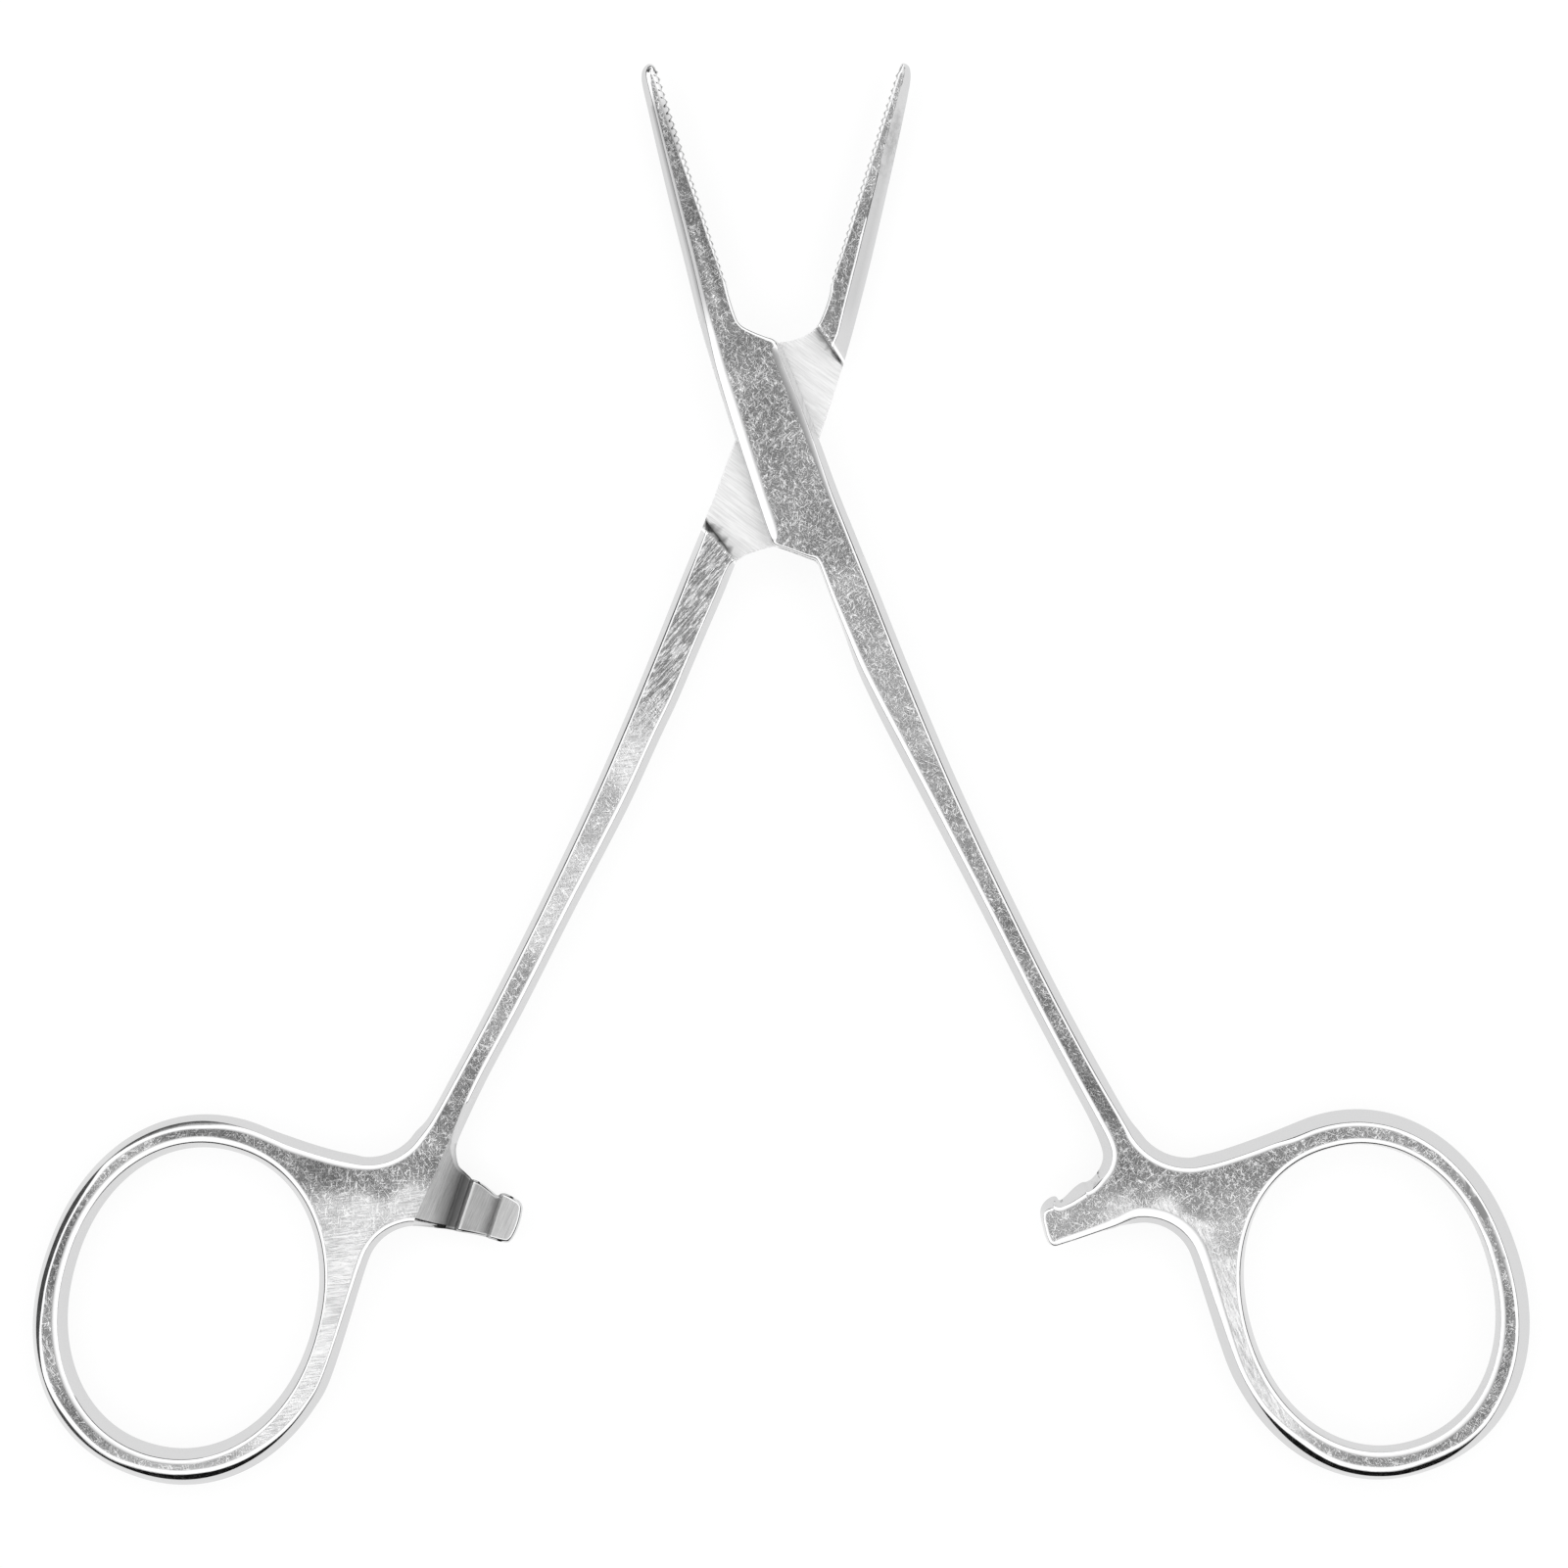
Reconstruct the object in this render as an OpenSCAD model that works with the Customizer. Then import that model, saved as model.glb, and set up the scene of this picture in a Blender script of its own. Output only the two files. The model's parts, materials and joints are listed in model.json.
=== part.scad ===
// Locking forceps of the box-lock kind: two arms, crossed at a pinned box
// joint, with serrated jaws, two finger rings and a locking ratchet.
// Each arm is drawn closed, with its centre line on Y, its jaw up and its
// ring on the +X side; the tongue arm is then mirrored and both are opened.
// The arms are hand finished, so a few sizes differ a little between them:
// where a value is chosen by t, t is true for the tongue arm.

/* [Overall] */
// Angle between the two arms as they lie, closed is 0
open_angle = 36.2; // [0:0.1:50]
// Distance from the pivot to the tip of the jaws
jaw_len = 31.4; // [28:0.1:34]
// Distance from the pivot to the near edge of the finger rings
handle_len = 63.7; // [60:0.1:68]

/* [Box lock] */
// Width of the box at the pivot
box_w = 6.2; // [6:0.1:6.8]
// Thickness of the box
box_t = 4; // [3.6:0.1:4.6]
// Thickness of the tongue that passes through the box
tongue_t = 1.3; // [1:0.1:1.6]
// Clearance on each face of the tongue
tongue_gap = 0.05; // [0.03:0.01:0.1]
// Diameter of the pivot pin
pin_d = 2.4; // [1.8:0.1:2.8]
// Clearance all round the pin in the tongue's bore
pin_gap = 0.05; // [0.02:0.01:0.1]

/* [Jaws] */
// Thickness of the jaw at its tip
jaw_tip_t = 1.7; // [1.4:0.1:2.4]
// Spacing of the jaw serrations
serration_pitch = 0.62; // [0.5:0.01:0.8]
// Depth of the jaw serrations
serration_depth = 0.24; // [0.15:0.01:0.3]
// Clearance between the closed jaws
jaw_gap = 0.04; // [0.02:0.01:0.1]

/* [Shanks] */
// Thickness of the shanks
shank_t = 3; // [2.6:0.1:3.4]
// Width of the drafted side faces, on plan
side_draft = 0.45; // [0.2:0.05:0.6]

/* [Finger rings] */
// Outer width of a ring, across the instrument
ring_w = 24.6; // [23:0.1:26]
// Outer length of a ring, along the instrument
ring_l = 29.4; // [28:0.1:31]
// Width of the finger hole
hole_w = 19.3; // [18:0.1:19.8]
// Length of the finger hole
hole_l = 23.9; // [22:0.1:24.4]
// Thickness of the rings
ring_t = 3.2; // [2.8:0.1:3.6]

/* [Ratchet] */
// Spacing of the ratchet teeth
ratchet_pitch = 2.55; // [2.2:0.05:2.7]
// Depth of the ratchet teeth
ratchet_depth = 0.8; // [0.5:0.05:0.9]
// Width of a ratchet bar, along the instrument
ratchet_w = 4; // [3.4:0.1:4.2]

/* [Hidden] */
$fn = 64;

// Height of the arms' middle plane above the plane that the box rests on
mid_z = box_t / 2;
slot_t = tongue_t + 2 * tongue_gap;
big = 40;

// Landmarks along the arm
knee_y = -handle_len + 4.2;
ratchet_y = -handle_len - 1.45;

// Left edge of the jaw and of the box, from the tip down, as [y, x]
function left_upper(t) = [
    [jaw_len, -0.75],
    [jaw_len - 0.45, t ? -1.05 : -1.15],
    [jaw_len - 1.4, t ? -1.27 : -1.38],
    [jaw_len * 0.7, -2.07],
    [jaw_len * 0.45, t ? -2.73 : -2.67],
    [10, t ? -3.07 : -3.0],
    [8, -box_w / 2 + (t ? 0 : 0.06)],
    [0, -box_w / 2],
    [-7.7, -box_w / 2 + 0.12],
];

// Lower end of the box plate, and the step down to the shank
left_step_box_arm = [[-7.85, -2.75], [-8.35, -2.05], [-9.15, -1.1], [-9.7, -0.45], [-10.15, 0]];
left_step_tongue_arm = [[-7.95, -2.3], [-8.7, -1.2], [-9.25, -0.4], [-10.1, 0.15]];

// Inner edge of each shank, down to the ratchet
inner_box_arm = [[-13, 0.13], [-16, 0.28], [-19, 0.38], [-22, 0.72], [-25, 1.18]];
inner_tongue_arm = [[-13, 0.32], [-16, 0.6], [-19, 0.86], [-22, 1.12], [-25, 1.5]];
inner_lower = [[-31, 2.2], [-40, 3.7], [-49, 5.1], [-55, 6.15]];

function left_edge(t) = concat(
    left_upper(t),
    t ? left_step_tongue_arm : left_step_box_arm,
    t ? inner_tongue_arm : inner_box_arm,
    inner_lower,
    [[knee_y, t ? 6.65 : 6.8]]
);

// Root of the jaw and upper end of the box plate
root_box_arm = [[12.6, 0], [9.95, -0.03], [9.3, 0.2], [8.55, 0.95], [7.85, 1.75], [7.3, 2.55]];
root_tongue_arm = [[12.6, -0.3], [9.7, -0.25], [9.2, 0], [8.4, 0.6], [7.75, 1.5], [7.35, 2.3]];

// Right edge from the tip down: serrated face, box, outer edge of the shank
function right_edge(t) = concat(
    [
        [jaw_len, -0.3],
        [jaw_len - 0.15, -0.12],
        [jaw_len - 0.45, -0.03],
        [jaw_len - 0.7, 0.1],
        [13.2, 0.1],
    ],
    t ? root_tongue_arm : root_box_arm,
    [
        [2, box_w / 2 - 0.15],
        [-1, box_w / 2 + 0.07],
        [-5, 3.32],
        [-8, 3.5],
        [-13, 3.84],
        [-19, 4.22],
        [-25, 4.68],
        [-31, 5.25],
        [-40, 6.4],
        [-49, 7.75],
        [-55, t ? 8.75 : 8.85],
        [knee_y, t ? 9.65 : 9.8],
    ]
);

// Half thickness along the arm, as [y, half thickness]
half_thickness = [
    [jaw_len, jaw_tip_t / 2 - 0.25],
    [jaw_len - 0.6, jaw_tip_t / 2],
    [20, 1.25],
    [12, 1.65],
    [8, box_t / 2],
    [-8, box_t / 2],
    [-14, shank_t / 2 + 0.15],
    [-20, shank_t / 2],
    [knee_y, shank_t / 2],
];

// Widths of the side draft and of the corner bevel along the arm
draft_list = [[jaw_len, 0.1], [jaw_len - 2, 0.2], [12, 0.3], [8, 0], [-8, 0], [-14, side_draft]];
bevel_list = [[jaw_len, 0.1], [jaw_len - 2, 0.15], [12, 0.4], [8, 0.6], [-8, 0.6], [-14, 0.35]];

// lookup() wants rising keys, and the lists above run downwards
function rising(list) = [for (i = [len(list) - 1:-1:0]) list[i]];

function keys(list) = [for (entry = list) entry[0]];

// Places along Y where either edge changes direction, from the tip down
function merged(a, b, i = 0, j = 0) =
    i >= len(a) ? [for (k = [j:1:len(b) - 1]) b[k]] :
    j >= len(b) ? [for (k = [i:1:len(a) - 1]) a[k]] :
    abs(a[i] - b[j]) < 0.06 ? merged(a, b, i, j + 1) :
    a[i] > b[j] ? concat([a[i]], merged(a, b, i + 1, j)) :
    concat([b[j]], merged(a, b, i, j + 1));

// Ten-sided section, widest at mid thickness, with drafted sides and bevels
function section(y, left, right) =
    let (
        half = lookup(y, rising(half_thickness)),
        draft = lookup(y, rising(draft_list)),
        bevel = lookup(y, rising(bevel_list)),
        x0 = lookup(y, left),
        x1 = lookup(y, right)
    )
    [
        [x0, y, 0],
        [x0 + draft, y, half - bevel],
        [x0 + draft + bevel, y, half],
        [x1 - draft - bevel, y, half],
        [x1 - draft, y, half - bevel],
        [x1, y, 0],
        [x1 - draft, y, bevel - half],
        [x1 - draft - bevel, y, -half],
        [x0 + draft + bevel, y, -half],
        [x0 + draft, y, bevel - half],
    ];

// Joins a row of sections into one solid, as a bar or as a closed loop
module loft(sections, closed = false) {
    n = len(sections);
    k = len(sections[0]);
    last = closed ? n - 1 : n - 2;
    sides = [
        for (i = [0:last])
            for (j = [0:k - 1])
                let (
                    a = i * k + j,
                    b = i * k + (j + 1) % k,
                    c = ((i + 1) % n) * k + (j + 1) % k,
                    d = ((i + 1) % n) * k + j
                )
                each [[a, b, c], [a, c, d]]
    ];
    ends = closed ? [] : [
        [for (j = [k - 1:-1:0]) j],
        [for (j = [0:k - 1]) (n - 1) * k + j],
    ];
    polyhedron([for (s = sections) for (p = s) p], concat(sides, ends));
}

// Jaw, box and shank of one arm as a single bar
module arm_bar(t) {
    left = rising(left_edge(t));
    right = rising(right_edge(t));
    stations = merged(keys(left_edge(t)), keys(right_edge(t)));
    loft([for (y = stations) section(y, left, right)]);
}

// Saw-tooth cut that leaves the serrations on the jaw's closing face; the
// two arms' teeth are half a pitch apart, and the tongue arm's face is bowed
module serration_cut(t) {
    first_y = 13.2;
    bow = t ? 0.2 : 0.04;
    bow_end = jaw_len * 0.85;
    shift = t ? 0.5 : 0;
    count = floor((jaw_len - 0.6 - first_y) / serration_pitch);
    valley_x = -jaw_gap / 2 - serration_depth / 2;
    tip_x = valley_x + serration_depth;
    function bowed(x, y) = [x - bow * max(0, (bow_end - y) / (bow_end - first_y)), y];
    teeth = [
        for (i = [0:count])
            let (y = first_y + (i + shift) * serration_pitch)
            each [bowed(tip_x, y), bowed(valley_x, y + 0.5 * serration_pitch)]
    ];
    linear_extrude(big, center = true)
        polygon(concat(
            [[2, first_y - 0.3], [-0.2, first_y - 0.3]],
            teeth,
            [[tip_x, jaw_len + 1], [2, jaw_len + 1]]
        ));
}

// The rings are a little egg-shaped ovals, tilted towards the instrument's
// middle, and their holes lie off centre, away from the web
function ring_cx(t) = t ? 22.6 : 23.3;
function ring_cy(t) = -handle_len - ring_l / 2 - (t ? 0.2 : 0);

function tilted(centre, p, angle) =
    centre + [p[0] * cos(angle) - p[1] * sin(angle), p[0] * sin(angle) + p[1] * cos(angle)];

// Point on an oval at an angle; power 2 is an ellipse, more is squarer
function oval(half_w, half_l, power, a) = [
    half_w * sign(cos(a)) * pow(abs(cos(a)), 2 / power),
    half_l * sign(sin(a)) * pow(abs(sin(a)), 2 / power),
];

function ring_outer(t, a) =
    tilted([ring_cx(t), ring_cy(t)], oval(ring_w / 2, ring_l / 2, 2.15, a), 1.5);

function ring_inner(t, a) =
    tilted([ring_cx(t) + 0.15, -handle_len - ring_l / 2 - 0.1], oval(hole_w / 2, hole_l / 2, 2.1, a), -2.5);

// Rounded section of the ring's wire, as [share of the width, share of the half thickness]
wire_profile = [
    [0, 0], [0.1, 0.72], [0.32, 1], [0.68, 1], [0.9, 0.72],
    [1, 0], [0.9, -0.72], [0.68, -1], [0.32, -1], [0.1, -0.72],
];

module finger_ring(t) {
    steps = 60;
    loft([
        for (i = [0:steps - 1])
            let (
                a = -360 * i / steps,
                p = ring_inner(t, a),
                q = ring_outer(t, a)
            )
            [
                for (w = wire_profile)
                    [p[0] + (q[0] - p[0]) * w[0], p[1] + (q[1] - p[1]) * w[0], w[1] * ring_t / 2]
            ]
    ], true);
}

function arc(cx, cy, r, a0, a1, n = 8) =
    [for (i = [0:n]) let (a = a0 + (a1 - a0) * i / n) [cx + r * cos(a), cy + r * sin(a)]];

// Flat web that joins the shank, the ring and the ratchet bar
module web(t, half) {
    outer_r = 4.6;
    inner_r = 4;
    knee_r = t ? 2.5 : 1.9;
    knee_x = t ? 6.75 : 6.85;
    top = ratchet_y + ratchet_w / 2;
    bottom = ratchet_y - ratchet_w / 2;
    left = ring_cx(t) - ring_w / 2;
    linear_extrude(2 * half, center = true)
        polygon(concat(
            [[7.4, knee_y + 2.5]],
            arc(knee_x - knee_r, top + 0.15 + knee_r, knee_r, 0, -80),
            [[4.6, top + 0.1], [4.6, bottom + 0.1]],
            arc(left - inner_r + 0.05, bottom - inner_r - 0.2, inner_r, 90, 0),
            [[left + 0.3, ring_cy(t) + 4], [left + 2, ring_cy(t) + 4]],
            [for (a = [160:-12:100]) ring_inner(t, a) + [-0.5, 0.4]],
            [[ring_cx(t), -handle_len - 0.5], [ring_cx(t) - 4, -handle_len - 0.3]],
            arc(10.05 + outer_r, -handle_len + outer_r - 0.3, outer_r, 270, 190),
            [[9.3, knee_y + 2.5]]
        ));
}

// Side view of the toothed bar: two ramps with steep catches and a root ramp
module ratchet_side(half, tip, reach) {
    crest = 0.3;
    valley = crest - ratchet_depth;
    catch_run = 0.3;
    step_1 = tip + 1.8;
    step_2 = step_1 + ratchet_pitch;
    translate([0, ratchet_y, 0])
        rotate([90, 0, 0])
            linear_extrude(2 * ratchet_w, center = true)
                polygon([
                    [tip, -half + 0.4],
                    [tip + 0.3, -half],
                    [reach, -half],
                    [reach, half],
                    [reach - 0.5, half],
                    [step_2 + catch_run, valley],
                    [step_2, crest],
                    [step_1 + catch_run, valley],
                    [step_1, crest],
                    [tip + 0.2, valley + 0.3],
                    [tip, valley + 0.1],
                ]);
}

// The toothed bar, a little narrower towards its tip
module ratchet_bar(half, tip, reach) {
    corner = 0.35;
    tip_half = ratchet_w / 2 - 0.25;
    intersection() {
        ratchet_side(half, tip, reach);
        linear_extrude(big, center = true)
            polygon([
                [tip, ratchet_y - tip_half + corner],
                [tip + corner, ratchet_y - tip_half],
                [reach, ratchet_y - ratchet_w / 2],
                [reach, ratchet_y + ratchet_w / 2],
                [4.5, ratchet_y + ratchet_w / 2 + 0.1],
                [tip + corner, ratchet_y + tip_half],
                [tip, ratchet_y + tip_half - corner],
            ]);
    }
}

// Everything of one arm but its box joint; the tongue arm's ratchet faces up
module arm_blank(t) {
    difference() {
        union() {
            arm_bar(t);
            finger_ring(t);
            web(t, shank_t / 2 - 0.1);
            mirror([0, 0, t ? 0 : 1])
                ratchet_bar(shank_t / 2 - 0.05, t ? 0.15 : 0.55, 8);
        }
        serration_cut(t);
    }
}

// The layer between the two slanted shoulders of the box joint; the tongue
// arm's shoulders nearly touch the ends of the box plates when it is closed
module between_shoulders(low, high) {
    translate([0, 0, low])
        linear_extrude(high - low)
            polygon([
                [-5, 5.394],
                [0.7, 10.296],
                [5, 10.296],
                [5, -6.53],
                [-0.6, -10.64],
                [-5, -10.64],
            ]);
}

// The outer arm: its box has a slot right through for the tongue
module box_arm() {
    color([0.72, 0.73, 0.74])
        rotate(open_angle / 2)
            translate([0, 0, mid_z])
                difference() {
                    arm_blank(false);
                    between_shoulders(-slot_t / 2, slot_t / 2);
                    cylinder(d = pin_d, h = big, center = true);
                }
}

// The inner arm: a thin tongue takes the place of its box
module tongue_arm() {
    color([0.82, 0.83, 0.84])
        rotate(-open_angle / 2)
            mirror([1, 0, 0])
                translate([0, 0, mid_z])
                    difference() {
                        arm_blank(true);
                        between_shoulders(tongue_t / 2, big);
                        between_shoulders(-big, -tongue_t / 2);
                        cylinder(d = pin_d + 2 * pin_gap, h = big, center = true);
                    }
}

// Plain pin, flush with both plates of the box
module pivot_pin() {
    color([0.62, 0.63, 0.65])
        cylinder(d = pin_d, h = box_t);
}

box_arm();
tongue_arm();
pivot_pin();
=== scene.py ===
import json
import math

import bmesh
import bpy
import numpy as np
from mathutils import Matrix, Vector
from mathutils.geometry import delaunay_2d_cdt


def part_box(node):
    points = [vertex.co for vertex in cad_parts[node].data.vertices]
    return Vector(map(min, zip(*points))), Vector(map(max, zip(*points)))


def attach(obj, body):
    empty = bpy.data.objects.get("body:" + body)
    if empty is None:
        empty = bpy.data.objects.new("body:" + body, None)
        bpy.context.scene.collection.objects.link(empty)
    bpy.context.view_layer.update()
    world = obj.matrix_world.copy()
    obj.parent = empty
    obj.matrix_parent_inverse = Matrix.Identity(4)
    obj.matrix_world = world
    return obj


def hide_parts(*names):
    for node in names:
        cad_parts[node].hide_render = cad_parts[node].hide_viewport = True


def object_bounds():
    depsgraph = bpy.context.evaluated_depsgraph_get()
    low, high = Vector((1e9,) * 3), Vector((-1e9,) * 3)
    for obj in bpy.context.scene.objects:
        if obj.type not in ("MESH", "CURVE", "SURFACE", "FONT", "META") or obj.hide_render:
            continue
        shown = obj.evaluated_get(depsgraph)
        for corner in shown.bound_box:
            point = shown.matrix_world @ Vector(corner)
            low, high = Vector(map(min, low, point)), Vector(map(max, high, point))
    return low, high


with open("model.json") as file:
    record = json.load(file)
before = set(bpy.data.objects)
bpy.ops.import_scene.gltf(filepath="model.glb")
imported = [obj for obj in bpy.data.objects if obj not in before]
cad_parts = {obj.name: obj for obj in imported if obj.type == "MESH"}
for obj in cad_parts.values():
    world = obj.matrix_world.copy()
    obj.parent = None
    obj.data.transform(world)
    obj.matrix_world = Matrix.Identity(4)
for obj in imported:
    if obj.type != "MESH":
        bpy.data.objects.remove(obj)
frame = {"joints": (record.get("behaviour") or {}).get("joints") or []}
cad_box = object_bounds()

# Straight box-lock forceps, lying open. Each arm is one forging, drawn in its
# own closed position, in millimetres: the pivot at the origin, the jaw up +Y,
# the ring on the +X side, z measured from the arm's middle plane. The tongue
# arm is then mirrored, and both arms are turned open about the pivot.
MM = 0.001
# Degrees that each arm is turned open by, half of the turn that closes them
box_joint = frame["joints"][0]
HALF_OPEN = max(box_joint["range_deg"]) / 2
pin_low, pin_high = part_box("pivot_pin")
MID_Z = (pin_low.z + pin_high.z) / 2 / MM
PIN_R = (pin_high.x - pin_low.x) / 2 / MM
# Half thicknesses of the box, of the tongue in it, and of the slot
BOX_HALF = MID_Z
TONGUE_HALF = 0.65
SLOT_HALF = 0.7

# ---------------------------------------------------------------- outlines
# A row is (x, y, draft, bevel, shoulder, slope): a point of the outline, the
# width on plan of the drafted side there, of the polished bevel at the top and
# of the steeper shoulder between the two, and the slope of the bevel. The last
# two may be left out where they are the usual ones.
SHOULDER = 0.06
SHOULDER_SLOPE = 0.8
BEVEL_SLOPE = 0.46
# Draft and bevel of the tongue itself, whose edges are nearly square
TONGUE_EDGE = (0.03, 0.04)
# Ovals of a finger ring: half width, half length, squareness and tilt
RING_OUTSIDE = (12.3, 14.7, 2.15, 1.5)
RING_HOLE = (9.65, 11.95, 2.1, -2.5)


def full_row(x, y, draft, bevel, shoulder=SHOULDER, slope=BEVEL_SLOPE):
    """A row with nothing left out."""
    return x, y, draft, bevel, min(shoulder, draft), slope


def rows(points, draft, bevel):
    """Rows with the same draft and bevel."""
    return [(x, y, draft, bevel) for x, y in points]


def arc(cx, cy, r, start, end, draft, bevel, count=6):
    """Rows round an arc, from one angle to another."""
    out = []
    for a in np.linspace(math.radians(start), math.radians(end), count):
        out.append((cx + r * math.cos(a), cy + r * math.sin(a), draft, bevel))
    return out


def oval(centre, half_w, half_l, power, tilt, angles):
    """Points of a tilted oval; power 2 is an ellipse, more is squarer."""
    a = np.radians(angles)
    x = half_w * np.sign(np.cos(a)) * np.abs(np.cos(a)) ** (2 / power)
    y = half_l * np.sign(np.sin(a)) * np.abs(np.sin(a)) ** (2 / power)
    t = math.radians(tilt)
    return np.stack(
        [
            centre[0] + x * math.cos(t) - y * math.sin(t),
            centre[1] + x * math.sin(t) + y * math.cos(t),
        ],
        1,
    )


def ring_rows(centre, start, end, bands, count=34):
    """Outer edge of a finger ring. bands gives (angle, draft, bevel, shoulder)."""
    angles = np.linspace(start, end, count)
    points = oval(centre, *RING_OUTSIDE, angles)
    at, *widths = zip(*bands)
    return [
        (x, y, *[np.interp(a, at, w) for w in widths])
        for (x, y), a in zip(points, angles)
    ]


BOX_ARM = {
    "jaw_back": [
        (-0.04, 30.95, 0.12, 0.1),
        (-0.12, 31.22, 0.15, 0.2),
        (-0.42, 31.38, 0.2, 0.3),
        (-0.8, 31.25, 0.25, 0.35),
        (-1.1, 30.95, 0.3, 0.35),
        (-1.32, 30.4, 0.35, 0.3),
        (-1.42, 29.8, 0.4, 0.25),
        (-1.62, 27.6, 0.45, 0.16),
        (-1.88, 24.8, 0.5, 0.18),
        (-2.22, 20.8, 0.55, 0.22),
        (-2.62, 15.2, 0.55, 0.28),
        (-2.88, 11.8, 0.5, 0.35),
        (-3.0, 9.6, 0.4, 0.5),
        (-3.07, 7, 0.25, 0.66),
        (-3.1, 4, 0.18, 0.76),
        (-3.1, 0, 0.14, 0.76),
        (-3.06, -4, 0.12, 0.7),
        (-3.0, -7.0, 0.1, 0.6),
        (-2.9, -7.62, 0.06, 0.25),
        (-2.68, -7.9, 0.05, 0.12),
        (-2.05, -8.38, 0.05, 0.1),
        (-1.1, -9.13, 0.05, 0.1),
        (-0.5, -9.62, 0.06, 0.12),
        (-0.13, -9.9, 0.08, 0.16),
        (0.0, -10.25, 0.08, 0.18),
        (0.04, -10.7, 0.08, 0.2),
    ],
    "shank_inner": [
        (0.13, -13, 0.08, 0.26),
        (0.28, -16, 0.14, 0.34),
        (0.38, -19, 0.3, 0.38),
        (0.72, -22, 0.42, 0.38),
        (1.18, -25, 0.48, 0.36),
        (2.2, -31, 0.5, 0.33),
        (3.7, -40, 0.5, 0.3),
        (5.1, -49, 0.48, 0.3),
        (6.15, -55, 0.48, 0.32),
        (6.78, -58.6, 0.52, 0.34),
        (6.97, -60.6, 0.65, 0.36),
    ],
    "ratchet": [
        (6.9, -61.5, 0.65, 0.36),
        (6.55, -62.15, 0.6, 0.34),
        (5.95, -62.65, 0.56, 0.32),
        (5.35, -62.98, 0.6, 0.3),
        (4.98, -63.08, 0.66, 0.3),
        (4.7, -63.02, 0.74, 0.3),
        (4.0, -63.18, 0.8, 0.3),
        (3.1, -63.6, 0.6, 0.3),
        (2.5, -63.78, 0.45, 0.3),
        (2.36, -63.45, 0.7, 0.3),
        (2.0, -63.36, 0.75, 0.28),
        (1.35, -63.58, 0.55, 0.26),
        (0.92, -63.98, 0.3, 0.22),
        (0.72, -64.5, 0.14, 0.2),
        (0.62, -65.4, 0.12, 0.2),
        (0.58, -66.3, 0.12, 0.22),
        (0.68, -66.8, 0.12, 0.25),
        (0.98, -67.1, 0.12, 0.35),
        (1.8, -67.16, 0.12, 0.45),
        (4, -67.16, 0.12, 0.5),
        (6.2, -67.2, 0.2, 0.6),
    ],
    "inner_fillet": arc(7.05, -71.35, 4.0, 80, 0, 0.5, 0.75, 8),
    "ring": ring_rows(
        (23.3, -78.4),
        186,
        456,
        [
            (186, 0.66, 0.36, 0.06),
            (200, 0.6, 0.36, 0.1),
            (212, 0.5, 0.4, 0.34),
            (236, 0.38, 0.44, 0.72),
            (262, 0.36, 0.46, 0.8),
            (276, 0.45, 0.42, 0.36),
            (288, 0.66, 0.36, 0.08),
            (310, 0.95, 0.3, 0.05),
            (350, 1.02, 0.24, 0.05),
            (400, 0.95, 0.26, 0.06),
            (456, 0.9, 0.32, 0.1),
        ],
    ),
    "web_top": rows(
        [(19.9, -63.92), (18.4, -63.98), (17, -64.01), (15.4, -64), (14.2, -63.9)], 0.78, 0.34
    )
    + arc(14.65, -59.4, 4.6, 255, 195, 0.72, 0.34),
    "front": [
        (9.8, -59.5, 0.54, 0.24),
        (8.85, -55, 0.55, 0.16, 0.1),
        (7.75, -49, 0.55, 0.14, 0.12),
        (6.4, -40, 0.55, 0.14, 0.12),
        (5.25, -31, 0.55, 0.14, 0.12),
        (4.68, -25, 0.54, 0.14, 0.12),
        (4.22, -19, 0.52, 0.12, 0.13),
        (3.84, -13, 0.52, 0.12, 0.13),
        (3.5, -8, 0.52, 0.18, 0.13, 0.3),
        (3.32, -5, 0.54, 0.32, 0.11, 0.22),
        (3.17, -1, 0.48, 0.48, 0.07, 0.19),
        (3.0, 2, 0.42, 0.56, 0.05, 0.18),
        (2.78, 5, 0.4, 0.6, 0.05, 0.19),
        (2.6, 6.8, 0.34, 0.5, 0.05, 0.22),
        (2.46, 7.3, 0.2, 0.3),
        (2.15, 7.62, 0.06, 0.24),
        (1.75, 7.9, 0.05, 0.2),
        (0.95, 8.55, 0.05, 0.16),
        (0.2, 9.3, 0.05, 0.14),
        (-0.02, 9.7, 0.05, 0.12),
        (-0.08, 10.4, 0.06, 0.14),
        (-0.04, 12, 0.08, 0.14),
    ],
}

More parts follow.
